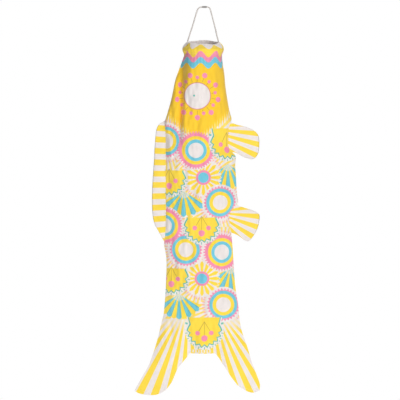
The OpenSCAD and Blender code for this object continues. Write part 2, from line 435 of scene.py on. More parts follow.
@dataclass(frozen=True)
class BodyPrint:
    """The fish's printed sides: a plain head with an eye, and rings, suns, leaves and fans behind it."""

    cloth: Cloth = Cloth()
    softness: float = 0.7
    rings: tuple[Point, ...] = ((-20, -401), (-111, -616), (54, -690))
    spiked_rings: tuple[Point, ...] = ((49, -549), (-49, -683), (58, -840), (-107, -376))
    suns: tuple[Point, ...] = ((1, -478), (-3, -765))
    tall_leaves: tuple[Point, ...] = ((71, -378), (4, -914))
    short_leaves: tuple[Point, ...] = ((-98, -480), (-4, -613), (-91, -759))
    fans: tuple[Point, ...] = ((72, -440), (-55, -516), (80, -733), (-68, -809))
    eye: Point = (-16, -248)

    def seen_from(self, sheet: PrintSheet, centres: Sequence[Point]) -> Polar:
        """Where a point lies, seen from the nearest of some centres."""
        board = sheet.board
        offset = distance = None
        for x, y in centres:
            step = board.vector("SUBTRACT", sheet.place, (x, y, 0.0)).outputs[0]
            length = Value(board, board.vector("LENGTH", step, (0.0, 0.0, 0.0)).outputs[1])
            if offset is None:
                offset, distance = step, length
                continue
            closer = length.math("LESS_THAN", distance)
            offset = board.mix_vector(closer, offset, step)
            distance = length.math("MINIMUM", distance)
        x_off, y_off, _ = board.split(offset)
        return Polar(x_off, y_off, distance, x_off.math("ARCTAN2", y_off * -1.0))

    def disc(self, radius: Value, edge: Number) -> Value:
        """1 inside an edge and 0 outside."""
        return (edge - radius).above(0.0, self.softness)

    def discs(self, sheet: PrintSheet, seen: Polar, edges: Sequence[tuple[float, Ink]]) -> None:
        """Discs over each other, the biggest first."""
        for edge, ink in edges:
            sheet.band(self.disc(seen.radius, edge), ink)

    def ring(self, sheet: PrintSheet) -> None:
        """Plain rings of pink, yellow and blue round a white middle."""
        seen = self.seen_from(sheet, self.rings)
        rays = seen.angle.wave(math.radians(9)).above(0.0, 0.5)
        sheet.band(self.disc(seen.radius, 53.0) * rays, Ink.PINK)
        self.discs(sheet, seen, ((48.5, Ink.PINK), (40, Ink.YELLOW), (30.5, Ink.BLUE), (21.5, Ink.WHITE)))

    def halo(self, sheet: PrintSheet) -> None:
        """A white edge round the plain rings."""
        seen = self.seen_from(sheet, self.rings)
        sheet.band(self.disc(seen.radius, 55.0), Ink.WHITE)

    def spiked_ring(self, sheet: PrintSheet) -> None:
        """Rings whose pink outer edge stands out in points, with white between them."""
        seen = self.seen_from(sheet, self.spiked_rings)
        spikes = seen.angle.zigzag(math.radians(12))
        sheet.band(self.disc(seen.radius, 51.0), Ink.WHITE)
        sheet.band(self.disc(seen.radius, spikes * 6.5 + 41.5), Ink.PINK)
        self.discs(sheet, seen, ((40, Ink.BLUE), (31, Ink.YELLOW), (21, Ink.WHITE)))

    def sun(self, sheet: PrintSheet) -> None:
        """Yellow and white rays round a blue disc with a pink rim."""
        seen = self.seen_from(sheet, self.suns)
        wave = seen.angle.wave(math.radians(22.5))
        tips = wave.math("ABSOLUTE") * 7.0 + 45.0
        sheet.band(self.disc(seen.radius, tips), Ink.WHITE)
        petal = wave.above(-0.45, 0.3) * self.disc(seen.radius, tips - 2.0)
        sheet.band(petal, Ink.YELLOW)
        self.discs(sheet, seen, ((21, Ink.PINK), (15, Ink.BLUE)))

    def stalked_dots(
        self, sheet: PrintSheet, seen: Polar, step: float, most: float, reach: Point, size: Point
    ) -> None:
        """Dots on thin stems that fan out from a middle, long and short by turns.

        Args:
            sheet: the cloth to print on.
            seen: the place, seen from the stems' middle.
            step: the angle between two stems, in degrees.
            most: how many stems there are on each side of the first one.
            reach: the length of a long and a short stem.
            size: the radius of a big and a small dot.
        """
        turn = math.radians(step)
        stem = (seen.angle / turn).math("ROUND").math("MINIMUM", most).math("MAXIMUM", -most)
        small = (stem * 0.5).math("FRACT").math("ABSOLUTE") * 2.0
        length = reach[0] - small * (reach[0] - reach[1])
        across = ((seen.angle - stem * turn) * seen.radius).math("ABSOLUTE")
        line = self.disc(across, 0.9) * self.disc(seen.radius, length)
        sheet.band(line * 0.7, Ink.OLIVE)
        gap = across.math("POWER", 2.0) + (seen.radius - length).math("POWER", 2.0)
        dot = self.disc(gap.math("SQRT"), size[0] - small * (size[0] - size[1]))
        sheet.band(dot, Ink.PINK)

    def leaf(self, sheet: PrintSheet) -> None:
        """Both sizes of leaf."""
        self.jagged_leaf(sheet, self.short_leaves, 22.0)
        self.jagged_leaf(sheet, self.tall_leaves, 38.0)

    def jagged_leaf(self, sheet: PrintSheet, centres: Sequence[Point], top: float) -> None:
        """Yellow leaves with a jagged teal edge, a flat top and dots on stems.

        Args:
            sheet: the cloth to print on.
            centres: the leaves' middles.
            top: how far above its middle a leaf is cut flat.
        """
        seen = self.seen_from(sheet, centres)
        height = seen.y.math("MINIMUM", seen.y * 0.4)
        radius = (seen.x.math("POWER", 2.0) + height.math("POWER", 2.0)).math("SQRT")
        angle = seen.x.math("ARCTAN2", height * -1.0)
        edge = angle.zigzag(math.radians(20)) * 8.0 + 43.0
        flat_top = (top - seen.y).above(0.0, self.softness)
        below = (top - 14.0 - seen.y).above(0.0, 4.0)
        strokes = angle.wave(math.radians(9)).above(0.6, 0.4)
        sheet.band(self.disc(radius, 55.0) * below * 0.85, Ink.WHITE)
        sheet.band(self.disc(radius, 55.0) * below * strokes * 0.9, Ink.TEAL)
        sheet.band(self.disc(radius, edge + 4.0) * flat_top, Ink.WHITE)
        sheet.band(self.disc(radius, edge) * flat_top, Ink.TEAL)
        sheet.band(self.disc(radius, edge - 4.0) * flat_top, Ink.YELLOW)
        root = self.seen_from(sheet, [(x, y + 26) for x, y in centres])
        self.stalked_dots(sheet, root, 30.0, 1.0, (49.0, 39.0), (9.0, 6.6))

    def fan(self, sheet: PrintSheet) -> None:
        """Fans of blue and yellow stripes that spread downwards."""
        seen = self.seen_from(sheet, self.fans)
        stripe = seen.angle.wave(math.radians(25))
        tips = stripe.math("ABSOLUTE") * 5.0 + 68.0
        spread = (1.09 - seen.angle.math("ABSOLUTE")).above(0.0, 0.05)
        inside = spread * self.disc(seen.radius, tips)
        sheet.band(inside, Ink.YELLOW)
        sheet.band(inside * stripe.above(-0.12, 0.2), Ink.TEAL)
        sheet.band(inside * stripe.above(0.38, 0.25), Ink.BLUE)
        feather = seen.angle.wave(math.radians(8)).above(0.0, 0.5)
        near = self.disc(seen.radius, 20.0) * spread
        sheet.band(near * feather, Ink.WHITE)

    def ground(self, sheet: PrintSheet) -> None:
        """Short feathered strokes between the motifs, out from the nearest one."""
        seen = self.seen_from(sheet, self.rings + self.spiked_rings + self.suns)
        stroke = seen.angle.wave(math.radians(10)).above(0.1, 0.6)
        sheet.band(stroke * seen.radius.above(55.0, 6.0) * 0.9, Ink.YELLOW)
        short = seen.angle.wave(math.radians(7.5)).above(0.5, 0.4)
        ring = seen.radius.above(53.0, 2.0) * self.disc(seen.radius, 61.0)
        sheet.band(short * ring * 0.8, Ink.PINK)

    def tail(self, sheet: PrintSheet) -> None:
        """Yellow rays that run down into the tail's lobes, one fan for each."""
        across, up, _ = sheet.board.split(sheet.place)
        right = across.above(-12.0, 0.5)
        outward = (across + 40.0 - right * 56.0) * (right * 2.0 - 1.0)
        lean = outward.math("ARCTAN2", -822.0 - up) * (180.0 / math.pi)
        rays = (lean - 3.8 - right * 6.3).wave(7.8 - right * 1.05).above(-0.1, 0.2)
        below = (-882.0 - up).above(0.0, 3.0)
        fade = ((-872.0 - up) / 45.0).math("MINIMUM", 1.0).math("MAXIMUM", 0.0)
        sheet.band(below, Ink.WHITE)
        sheet.band(below * rays * fade, Ink.YELLOW)
        hem = self.disc((up + 974.0).math("ABSOLUTE"), 4.0) * self.disc((across + 5.0).math("ABSOLUTE"), 30.0)
        sheet.band(hem, Ink.WHITE)
        sheet.band(hem * across.wave(8.0).above(0.0, 0.4), Ink.YELLOW)

    def head(self, sheet: PrintSheet) -> None:
        """The plain head, its feathered lower edge, the wave bands at the mouth and the eye."""
        across, up, _ = sheet.board.split(sheet.place)
        lean = (across + 16.0).math("ABSOLUTE")
        edge = lean * 0.54 + across.zigzag(7.5) * (lean * 0.29 + 8.0) - 370.0
        sheet.band(up.above(edge - 8.0, 6.0), Ink.PALE_YELLOW)
        sheet.band(up.above(edge, 4.0), Ink.HEAD)
        crest = (across + 6.8).wave(43.8)
        waves = ((-163.6, 7.8, Ink.BLUE), (-146.6, 7.8, Ink.PINK), (-130.7, 9.5, Ink.YELLOW),
                 (-105.5, 10.0, Ink.WHITE))
        for height, swell, ink in waves:
            sheet.band(up.above(crest * swell + height, self.softness), ink)
        seen = self.seen_from(sheet, [self.eye])
        self.stalked_dots(sheet, seen, 20.0, 9.0, (61.0, 52.0), (7.4, 5.0))
        self.discs(sheet, seen, ((41, Ink.HEAD), (38.5, Ink.OLIVE), (37.4, Ink.PINK), (36, Ink.WHITE)))
        pupil = self.seen_from(sheet, [(self.eye[0] - 9, self.eye[1] + 1)])
        sheet.band(self.disc(pupil.radius, 2.8), Ink.TEAL)

    def build(self) -> bpy.types.Material:
        """The printed cloth of the body, the hem and the tail."""
        board = NodeBoard("body_print")
        base = board.node("ShaderNodeRGB")
        base.outputs[0].default_value = Ink.WHITE.linear
        sheet = PrintSheet(board, board.uv("pattern"), base.outputs[0])
        for motif in (self.ground, self.tail, self.fan, self.sun, self.halo, self.head, self.spiked_ring,
                      self.ring, self.leaf):
            motif(sheet)
        return self.cloth.finish(board, sheet.colour)


@dataclass(frozen=True)
class StripedPrint:
    """Yellow and white stripes, numbered across the fin by its pattern map."""

    name: str = "fin_stripes"
    cloth: Cloth = Cloth()

    def build(self) -> bpy.types.Material:
        """The printed cloth of the fins."""
        board = NodeBoard(self.name)
        stripe, _, _ = board.split(board.uv("pattern"))
        colour = board.mix_colour(stripe.wave(1.0).above(-0.05, 0.16), Ink.WHITE.linear, Ink.YELLOW.linear)
        return self.cloth.finish(board, colour)


@dataclass(frozen=True)
class PlainFinish:
    """A one-colour finish with fine grain, for the cord, threads, hoop and ferrule."""

    name: str
    ink: Ink | tuple[float, float, float, float]
    roughness: float
    metallic: float = 0.0
    sheen: float = 0.0
    grain: float = 900.0
    relief: float = 0.0001

    def build(self) -> bpy.types.Material:
        """The finished material."""
        board = NodeBoard(self.name)
        place = board.node("ShaderNodeTexCoord").outputs["Object"]
        grain = board.noise(place, self.grain, 3.0)
        stain = board.noise(place, 40.0, 2.0)
        colour = self.ink.linear if isinstance(self.ink, Ink) else self.ink
        darker = tuple(c * 0.82 for c in colour[:3]) + (1.0,)
        painted = board.mix_colour((grain + stain) * 0.5, darker, colour)
        return board.dress({
            "Base Color": painted,
            "Roughness": grain * 0.2 + (self.roughness - 0.1),
            "Normal": board.bump(grain, 0.4, self.relief),
            "Metallic": self.metallic,
            "Sheen Weight": self.sheen,
        })


# --- the cloth's shape ------------------------------------------------------------------------------


@dataclass(frozen=True)
class Drape:
    """How the limp cloth hangs: the whole sock's slow bends and the folds in its two sides."""

    hem_z: float = -136.0
    waves: tuple[tuple[float, float, float, float], ...] = (
        (1.5, 58.0, 210.0, 0.4), (1.0, 37.0, -150.0, 2.1), (0.7, 24.0, 330.0, 4.0), (0.8, 90.0, 70.0, 1.3),
        (0.45, 13.0, 90.0, 0.2), (0.45, 17.0, -45.0, 3.3))
    crease_x: float = -57.5
    crease_depth: float = 24.0
    crease_slack: float = 15.0
    pucker_height: float = 0.7
    pucker_pitch: float = 9.0

    def middle(self, x: np.ndarray, z: np.ndarray) -> np.ndarray:
        """How far the middle plane swings to the rear, in millimetres."""
        ease = smoothstep((self.hem_z - z) / 220.0)
        tilt = 3.0 * np.sin(z / 95.0 + 0.6) * x / 100.0
        roll = 2.2 * np.sin(z / 61.0 + x / 75.0 + 0.9) + 1.2 * np.sin(z / 27.0 - x / 50.0)
        return ease * (tilt + roll)

    def crease(self, x: np.ndarray, z: np.ndarray) -> np.ndarray:
        """The long crease beside the eye: steep towards the middle, slack towards the edge."""
        off = x - self.crease_x + 8.0 * smoothstep((-270.0 - z) / 110.0)
        steep = 3.6 + 8.0 * (1 - smoothstep((-150.0 - z) / 90.0))
        ends = smoothstep((self.hem_z - z) / 40.0) * (1 - smoothstep((-300.0 - z) / 90.0))
        width = np.where(off > 0, steep, self.crease_slack)
        return -self.crease_depth * ends * np.exp(-np.abs(off / width) ** 1.4)

    def pucker(self, x: np.ndarray, z: np.ndarray, side: int) -> np.ndarray:
        """The small gathers under the hem, which fade out downwards and into the sleeve."""
        gathers = self.pucker_height * np.sin(2 * np.pi * x / self.pucker_pitch + side)
        below = 1 - smoothstep((self.hem_z - z) / 45.0)
        return gathers * below * smoothstep((self.hem_z + 3.0 - z) / 9.0)

    def fold(self, x: np.ndarray, z: np.ndarray, side: int) -> np.ndarray:
        """How far a side stands out from its smooth shape, in millimetres."""
        ease = smoothstep((self.hem_z - z) / 90.0)
        total = np.zeros_like(x)
        for height, width, length, start in self.waves:
            total += height * np.sin(2 * np.pi * (x / width + z / length) + start + 1.7 * side)
        crease = self.crease(x, z) * (1.0 if side == FRONT else 0.5)
        return ease * total + crease + self.pucker(x, z, side)


@dataclass
class BodyTube:
    """The tube of cloth from the hem to the tail's end, in millimetres."""

    drape: Drape
    columns: int = 96
    crotch_left: int = 40
    crotch_right: int = 57
    hem_z: float = -136.0
    cut_z: float = -500.0
    thickness: float = 0.5
    tucked: float = 2.5
    seam_column: int = 8
    left: Profile = field(default=Profile((
        (-136, -53), (-155, -60), (-171, -66), (-205, -78), (-239, -85), (-273, -93), (-300, -101),
        (-320, -107), (-345, -106), (-500, -106), (-640, -107), (-670, -110), (-700, -105), (-780, -105),
        (-830, -108), (-868, -112), (-902, -120), (-936, -128), (-953, -133), (-985, -142))))
    right: Profile = field(default=Profile((
        (-136, 53), (-155, 55), (-188, 60), (-222, 63), (-256, 68), (-290, 74), (-318, 80), (-334, 74),
        (-370, 71), (-398, 74), (-420, 92), (-443, 91), (-477, 93), (-528, 96), (-553, 98), (-574, 79),
        (-616, 76), (-640, 80), (-698, 85), (-749, 88), (-800, 93), (-851, 101), (-885, 104),
        (-919, 111), (-953, 123), (-985, 134))))
    depth: Profile = field(default=Profile((
        (-136, 53), (-171, 50), (-205, 46), (-239, 42), (-273, 38), (-321, 33), (-404, 29), (-477, 26),
        (-630, 24), (-749, 21), (-817, 18), (-868, 15), (-902, 13), (-953, 10), (-985, 8))))

    def end_x(self) -> np.ndarray:
        """Where each column meets the tail's end: two lobes and a straight middle."""
        stops = [0, self.crotch_left, self.crotch_right, self.columns]
        return np.interp(np.arange(self.columns + 1), stops, [-133.0, -37.0, 31.0, 123.0])

    def end_z(self) -> np.ndarray:
        """The height of the tail's end in each column."""
        return -981.0 + 0.283 * np.maximum(0.0, np.abs(self.end_x() + 3.0) - 34.0)

    def end_depth(self) -> np.ndarray:
        """Half the depth at the tail's end, nothing at the edges and at the two crotches."""
        shares = np.empty(self.columns + 1)
        heights = np.empty(self.columns + 1)
        stops = ((0, self.crotch_left, 7.0), (self.crotch_left, self.crotch_right, 9.0),
                 (self.crotch_right, self.columns, 7.0))
        for first, last, height in stops:
            shares[first : last + 1] = np.linspace(0, 1, last - first + 1)
            heights[first : last + 1] = height
        return heights * np.sin(np.pi * shares)

    def ring(self, z: np.ndarray, end: float) -> tuple[np.ndarray, np.ndarray]:
        """One closed ring of the tube: the front from left to right, then the rear back.

        Args:
            z: the height of each column.
            end: how far the ring has changed to the shape of the tail's end, from 0 to 1.

        Returns:
            The ring's points, and for each its place in the printed pattern.
        """
        t = np.arange(self.columns + 1) / self.columns
        left, right, depth = self.left.at(z), self.right.at(z), self.depth.at(z)
        stop = self.end_x()
        share = (1 - np.cos(np.pi * t)) / 2
        share = share + end * ((stop - stop[0]) / (stop[-1] - stop[0]) - share)
        x = left + (right - left) * share
        fullness = 0.5 + 0.22 * smoothstep((self.hem_z - z) / 300.0)
        bulge = depth * np.sin(np.pi * t) ** (2 * fullness)
        bulge = bulge + end * (self.end_depth() - bulge)
        run = np.concatenate([[0.0], np.cumsum(np.hypot(np.diff(x), np.diff(bulge)))])
        centre = np.interp(0.0, x, run)
        flat = run - centre + smoothstep((-780.0 - z) / 110.0) * (x - run + centre)
        soft = np.minimum(1.0, bulge / 12.0) ** 0.7
        base = self.drape.middle(x, z)
        front = np.minimum(-bulge - soft * self.drape.fold(x, z, FRONT), -0.3 * soft) + base
        rear = np.maximum(bulge + soft * self.drape.fold(x, z, REAR), 0.3 * soft) + base
        back = slice(self.columns - 1, 0, -1)
        points = np.vstack([np.stack([x, front, z], 1), np.stack([x, rear, z], 1)[back]])
        pattern = np.stack([flat, z], 1)
        return points, np.vstack([pattern, pattern[back]])

    def stretch(
        self, name: str, top: float, foot: np.ndarray, rows: int, to_end: bool
    ) -> tuple[bpy.types.Object, list[np.ndarray]]:
        """One length of the tube as a thin sheet.

        Args:
            name: the piece's name.
            top: the height at which it starts.
            foot: the height at which each column ends.
            rows: how many rows of faces it has.
            to_end: whether it ends at the tail.

        Returns:
            The piece, and the lines of its side seams.
        """
        points, pattern = [], []
        for share in np.arange(rows + 1) / rows:
            end = smoothstep((share - 0.72) / 0.28) if to_end else 0.0
            ring, pairs = self.ring(top + (foot - top) * share, end)
            points.append(ring)
            pattern.append(pairs)
        flat = np.vstack(pattern) * MM
        faces = ring_faces(rows + 1, 2 * self.columns)
        piece = mesh_object(name, np.vstack(points), faces, {"pattern": flat, "weave": flat})
        thicken(piece, self.thickness)
        grid = np.array(points)
        inset, last = self.seam_column, self.columns
        sewn = grid[0 if to_end else 1 :]
        seams = [sewn[:, inset] - STITCH_LIFT, sewn[:, last - inset] - STITCH_LIFT,
                 sewn[:, -inset] + STITCH_LIFT, sewn[:, last + inset] + STITCH_LIFT]
        if to_end:
            low = grid[-3]
            middle = slice(self.crotch_left + 1, self.crotch_right)
            behind = slice(2 * last - self.crotch_right + 1, 2 * last - self.crotch_left)
            seams += [low[middle] - STITCH_LIFT, low[behind] + STITCH_LIFT]
        return piece, seams

    def build(self, finish: bpy.types.Material, stitching: "Stitching") -> None:
        """Makes the two lengths of the tube and their stitches.

        Args:
            finish: the body's cloth.
            stitching: lays the rows of stitches along its seams.
        """
        level = np.full(self.columns + 1, self.cut_z)
        fore, fore_seams = self.stretch("fore_body_cloth", self.hem_z + self.tucked, level, 96, False)
        aft, aft_seams = self.stretch("aft_body_cloth", self.cut_z, self.end_z(), 124, True)
        fore_stitches = stitching.sew("fore_body_stitches", fore_seams)
        aft_stitches = stitching.sew("aft_body_stitches", aft_seams)
        for piece in (fore, aft):
            piece.data.materials.append(finish)
        for piece in (fore, fore_stitches):
            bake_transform(piece)
        for piece in (aft, aft_stitches):
            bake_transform(piece)
        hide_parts("head_front_panel", "head_rear_panel", "trunk_front_panel", "trunk_rear_panel")
        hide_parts("tail_front_panel", "tail_rear_panel")
        LOG.info("body cloth: %s, %s", fore.name, aft.name)


@dataclass
class TailLobe:
    """One lobe of the forked tail, open at its top, where it meets the tube's end."""

    name: str
    body: str
    tube: BodyTube
    first: int
    last: int
    outer: tuple[Point, ...]
    foot: tuple[Point, ...]
    inner: tuple[Point, ...]
    flat: Point
    rows: int = 34
    down: Point = (0.2723, -0.9622)
    bend_length: float = 0.03

    def place(self, across: float, down: float, edges: Sequence[np.ndarray]) -> np.ndarray:
        """A point of the lobe between its four edges: top, foot, left and right."""
        top, foot, left, right = edges
        corners = [top[0], top[-1], foot[0], foot[-1]]
        k = across * (len(top) - 1)
        i = down * (len(left) - 1)
        between = (1 - down) * top[round(k)] + down * foot[round(k)]
        sides = (1 - across) * left[round(i)] + across * right[round(i)]
        blend = (1 - down) * ((1 - across) * corners[0] + across * corners[1])
        return between + sides - blend - down * ((1 - across) * corners[2] + across * corners[3])

    def layers(self) -> tuple[np.ndarray, np.ndarray]:
        """The points of the front and the rear layer, by row from the top and by column across."""
        columns = self.last - self.first
        ring, _ = self.tube.ring(self.tube.end_z(), 1.0)
        around = 2 * self.tube.columns
        front = ring[self.first : self.last + 1]
        rear = ring[[(around - k) % around for k in range(self.first, self.last + 1)]]
        steps = np.arange(self.rows + 1) / self.rows
        left = along(curve_through([front[0, [0, 2]], *self.outer, self.foot[0]], 8), steps)
        right = along(curve_through([front[-1, [0, 2]], *self.inner, self.foot[-1]], 8), steps)
        foot = along(curve_through(self.foot, 8), np.arange(columns + 1) / columns)
        edges = (front[:, [0, 2]], foot, left, right)
        lens = np.sin(np.pi * np.arange(columns + 1) / columns)
        middle = self.tube.drape.middle(front[:, 0], front[:, 2])
        front_rows, rear_rows = [], []
        for down in steps:
            x, z = np.array([self.place(k / columns, down, edges) for k in range(columns + 1)]).T
            hollow = 1 - smoothstep(down / 0.9)
            thin = 0.5 * lens * smoothstep((1 - down) / 0.1) * (1 - hollow)
            base = self.tube.drape.middle(x, z)
            front_rows.append(np.stack([x, base + (front[:, 1] - middle) * hollow - thin, z], 1))
            rear_rows.append(np.stack([x, base + (rear[:, 1] - middle) * hollow + thin, z], 1))
        return np.array(front_rows), np.array(rear_rows)

    def build(self, finish: bpy.types.Material, stitching: "Stitching") -> None:
        """Makes the lobe and its stitches.

        Args:
            finish: the body's cloth.
            stitching: lays the row of stitches along its edge.
        """
        front, rear = self.layers()
        columns = self.last - self.first
        rings = np.concatenate([front, rear[:, -2:0:-1]], axis=1)
        points = rings.reshape(-1, 3)
        size = 2 * columns
        faces = ring_faces(self.rows + 1, size)
        base = self.rows * size
        faces += [(base + k, base + size - k, base + size - k - 1, base + k + 1)
                  for k in range(1, columns - 1)]
        faces += [(base, base + size - 1, base + 1), (base + columns - 1, base + columns + 1, base + columns)]
        flat = points[:, [0, 2]] * MM
        piece = mesh_object(self.name, points, faces, {"pattern": flat, "weave": flat})
        thicken(piece, 0.3)
        piece.data.materials.append(finish)
        seams = []
        for layer, step in ((front, -STITCH_LIFT), (rear, STITCH_LIFT)):
            inset = layer[:, 1:-1]
            edge = [inset[: self.rows - 1, 0], inset[self.rows - 2, 1:-1], inset[self.rows - 2 :: -1, -1]]
            seams.append(np.vstack(edge) + step)
        stitches = stitching.sew(f"{self.name}_stitches", seams)
        for part in (piece, stitches):
            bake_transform(part)
        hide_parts(f"{self.body}_front", f"{self.body}_rear")
        LOG.info("tail lobe: %s", piece.name)


@dataclass
class Fin:
    """A fin of two layers of cloth, sewn into the body's edge."""

    name: str
    body: str
    tube: BodyTube
    top: float
    foot: float
    outline: tuple[Point, ...]
    flat: Point
    apex: Point
    start: float
    period: float
    on_left: bool = False
    rows: int = 26
    columns: int = 48
    ripple: float = 2.4
    stitch_row: int = 24

    def stripe(self, x: np.ndarray, z: np.ndarray) -> np.ndarray:
        """The stripe's number at each point; the stripes spread out from the apex."""
        lean = np.degrees(np.arctan2(self.apex[1] - z, np.abs(x - self.apex[0])))
        return (lean - self.start) / self.period

    def layers(self) -> tuple[np.ndarray, np.ndarray]:
        """The points of the front and the rear layer, by row from the root and by column down."""
        shares = np.arange(self.columns + 1) / self.columns
        z_root = np.linspace(self.top, self.foot, self.columns + 1)
        edge = self.tube.left.at(z_root) if self.on_left else self.tube.right.at(z_root)
        root = np.stack([edge + (0.6 if self.on_left else -0.6), z_root], 1)
        free = along(curve_through([root[0], *self.outline, root[-1]], 10), shares)
        front, rear = [], []
        for out in np.arange(self.rows + 1) / self.rows:
            x, z = (root + (free - root) * out).T
            wave = self.ripple * out * np.sin(2 * np.pi * (1.6 * shares + 0.25 * out) + 0.8)
            gather = 0.9 * np.sin(2 * np.pi * 5 * shares + 1.0) * math.exp(-3.0 * out)
            y = self.tube.drape.middle(x, z) + wave + gather * np.sin(np.pi * shares)
            half = 0.12 + (0.45 + 0.5 * math.sin(math.pi * out)) * np.sin(np.pi * shares)
            front.append(np.stack([x, y - half * (out < 1), z], 1))
            rear.append(np.stack([x, y + half * (out < 1), z], 1))
        return np.array(front), np.array(rear)

    def build(self, finish: bpy.types.Material, stitching: "Stitching") -> None:
        """Makes the fin and its stitches.

        Args:
            finish: the fins' cloth.
            stitching: lays the row of stitches along its free edge.
        """
        front, rear = self.layers()
        rings = np.concatenate([front, rear[:, ::-1]], axis=1)
        size = rings.shape[1]
        points = rings.reshape(-1, 3)
        faces = ring_faces(self.rows + 1, size)
        for start in (0, self.rows * size):
            cap = [(start + k, start + k + 1, start + size - 2 - k, start + size - 1 - k)
                   for k in range(self.columns)]
            faces += cap if start == 0 else [tuple(reversed(f)) for f in cap]
        if not self.on_left:
            faces = [tuple(reversed(f)) for f in faces]
        x, z = points[:, 0], points[:, 2]
        stripe = np.stack([self.stripe(x, z), np.zeros_like(x)], 1) * MM
        maps = {"pattern": stripe, "weave": points[:, [0, 2]] * MM}
        piece = mesh_object(self.name, points, faces, maps)
        merge_close(piece, 0.02)
        piece.data.materials.append(finish)
        seams = [front[self.stitch_row] - STITCH_LIFT, rear[self.stitch_row] + STITCH_LIFT]
        stitches = stitching.sew(f"{self.name}_stitches", seams)
        for part in (piece, stitches):
            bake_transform(part)
        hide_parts(f"{self.body}_front", f"{self.body}_rear")
        LOG.info("fin: %s", piece.name)


def merge_close(piece: bpy.types.Object, distance: float) -> None:
    """Merges a piece's points that lie closer than a distance in millimetres."""
    weld = piece.modifiers.new("merge", "WELD")
    weld.merge_threshold = distance * MM
    apply_modifiers(piece)


@dataclass
class MouthHem:
    """The sleeve of cloth over the hoop, from the body's first ring over the rim and down inside."""

    tube: BodyTube
    outline: tuple[Point, ...] = (
        (53.0, -136.0), (54.2, -130.5), (57.0, -124.0), (57.9, -118.0), (56.6, -111.5), (51.8, -105.0),
        (46.5, -100.2), (44.9, -98.9), (43.7, -100.0), (43.4, -104.0), (43.6, -114.0), (44.8, -124.0),
        (48.6, -131.0), (51.4, -135.0))
    radius: float = 57.0
    pinches: tuple[float, ...] = (-2.42, -0.72, 2.42, 0.72)
    pinch_depth: float = 3.2
    pinch_width: float = 5.0
    tuck: float = -2.66
    tuck_depth: float = 6.0
    tuck_width: float = 6.5

    def dents(self, turn: np.ndarray, z: float) -> np.ndarray:
        """How far the cord's ties and a tuck above and below the hoop pull the cloth in, in millimetres."""
        total = np.zeros_like(turn)
        for place in self.pinches:
            total += np.exp(-(((turn - place) * self.radius / self.pinch_width) ** 2))
        tuck = self.tuck_depth * np.exp(-(((turn - self.tuck) * self.radius / self.tuck_width) ** 2))
        above = math.exp(-(((z + 108.5) / 5.0) ** 2))
        under = math.exp(-(((z + 127.5) / 3.2) ** 2))
        return self.pinch_depth * total * above + tuck * (above + under)

    def build(self, finish: bpy.types.Material, stitching: "Stitching") -> None:
        """Makes the hem, with small puckers round its rim and above its stitching.

        Args:
            finish: the body's cloth.
            stitching: lays the rows of stitches round it.
        """
        outline = curve_through(self.outline, 4)
        run = run_lengths(outline)
        ring, pattern = self.tube.ring(np.full(self.tube.columns + 1, self.tube.hem_z), 0.0)
        turn = np.arctan2(ring[:, 1], ring[:, 0])
        points, pairs = [], []
        for (radius, z), up in zip(outline[::-1], run[::-1]):
            pucker = 0.55 * np.sin(34 * turn) + 0.4 * np.sin(21 * turn + 1.0)
            share = smoothstep(up / 8.0) * (0.3 + 0.7 * math.exp(0.25 * ((z + 118) / 12.0) ** 2))
            wide = radius + pucker * share * 0.7 - self.dents(turn, z)
            sag = 4.0 * np.exp(-(((turn + 0.85) / 0.42) ** 2))
            rear = np.sin(turn)
            tilt = np.where(rear > 0, 5.2, 3.4) * rear * np.abs(rear) + 0.5 * np.cos(turn) ** 2 - sag
            lift = (tilt + 0.5 * np.sin(5 * turn + 0.7)) * smoothstep((z + 122.0) / 20.0)
            points.append(np.stack([wide * np.cos(turn), wide * np.sin(turn), z + lift], 1))
            pairs.append(np.stack([pattern[:, 0], np.full(len(turn), self.tube.hem_z + up)], 1))
        flat = np.vstack(pairs) * MM
        faces = ring_faces(len(outline), len(turn))
        piece = mesh_object("mouth_hem_cloth", np.vstack(points), faces, {"pattern": flat, "weave": flat})
        thicken(piece, 0.5)
        piece.data.materials.append(finish)
        grid = np.array(points)
        outward = np.stack([np.cos(turn), np.sin(turn), 0 * turn], 1) * 0.1
        seams = [np.vstack([row, row[:1]]) for row in (grid[-3] + outward, grid[-6] + outward)]
        stitches = stitching.sew("mouth_hem_stitches", seams)
        for part in (piece, stitches):
            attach(part, "head")
        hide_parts("mouth_hem")
        LOG.info("hem: %s", piece.name)


# --- cord, stitches and hardware --------------------------------------------------------------------


def sweep(
    name: str, path: np.ndarray, section: Sequence[Point], twist: float, tip: float = 1.0
) -> bpy.types.Object:
    """A closed tube along a path.

    Args:
        name: the piece's name.
        path: the path's points in millimetres.
        section: the cross-section's points.
        twist: how many turns the section makes over each millimetre of the path.
        tip: the section's share of its size at the two ends, where it narrows over 4 mm.

    Returns:
        The piece.
    """
    way = np.gradient(path, axis=0)
    way /= np.linalg.norm(way, axis=1)[:, None]
    run = run_lengths(path)
    side = np.cross(way[0], [0.31, 0.9, 0.3])
    points = []
    for place, ahead, length in zip(path, way, run):
        side = side - ahead * side.dot(ahead)
        side /= np.linalg.norm(side)
        other = np.cross(ahead, side)
        spin = 2 * math.pi * twist * length
        scale = tip + (1 - tip) * float(smoothstep(min(length, run[-1] - length) / 4.0))
        for u, v in section:
            a = (u * math.cos(spin) - v * math.sin(spin)) * scale
            b = (u * math.sin(spin) + v * math.cos(spin)) * scale
            points.append(place + a * side + b * other)
    size = len(section)
    faces = [tuple(reversed(f)) for f in ring_faces(len(path), size)]
    faces += [tuple(reversed(range(size))), tuple(range((len(path) - 1) * size, len(path) * size))]
    return mesh_object(name, np.array(points), faces, {})


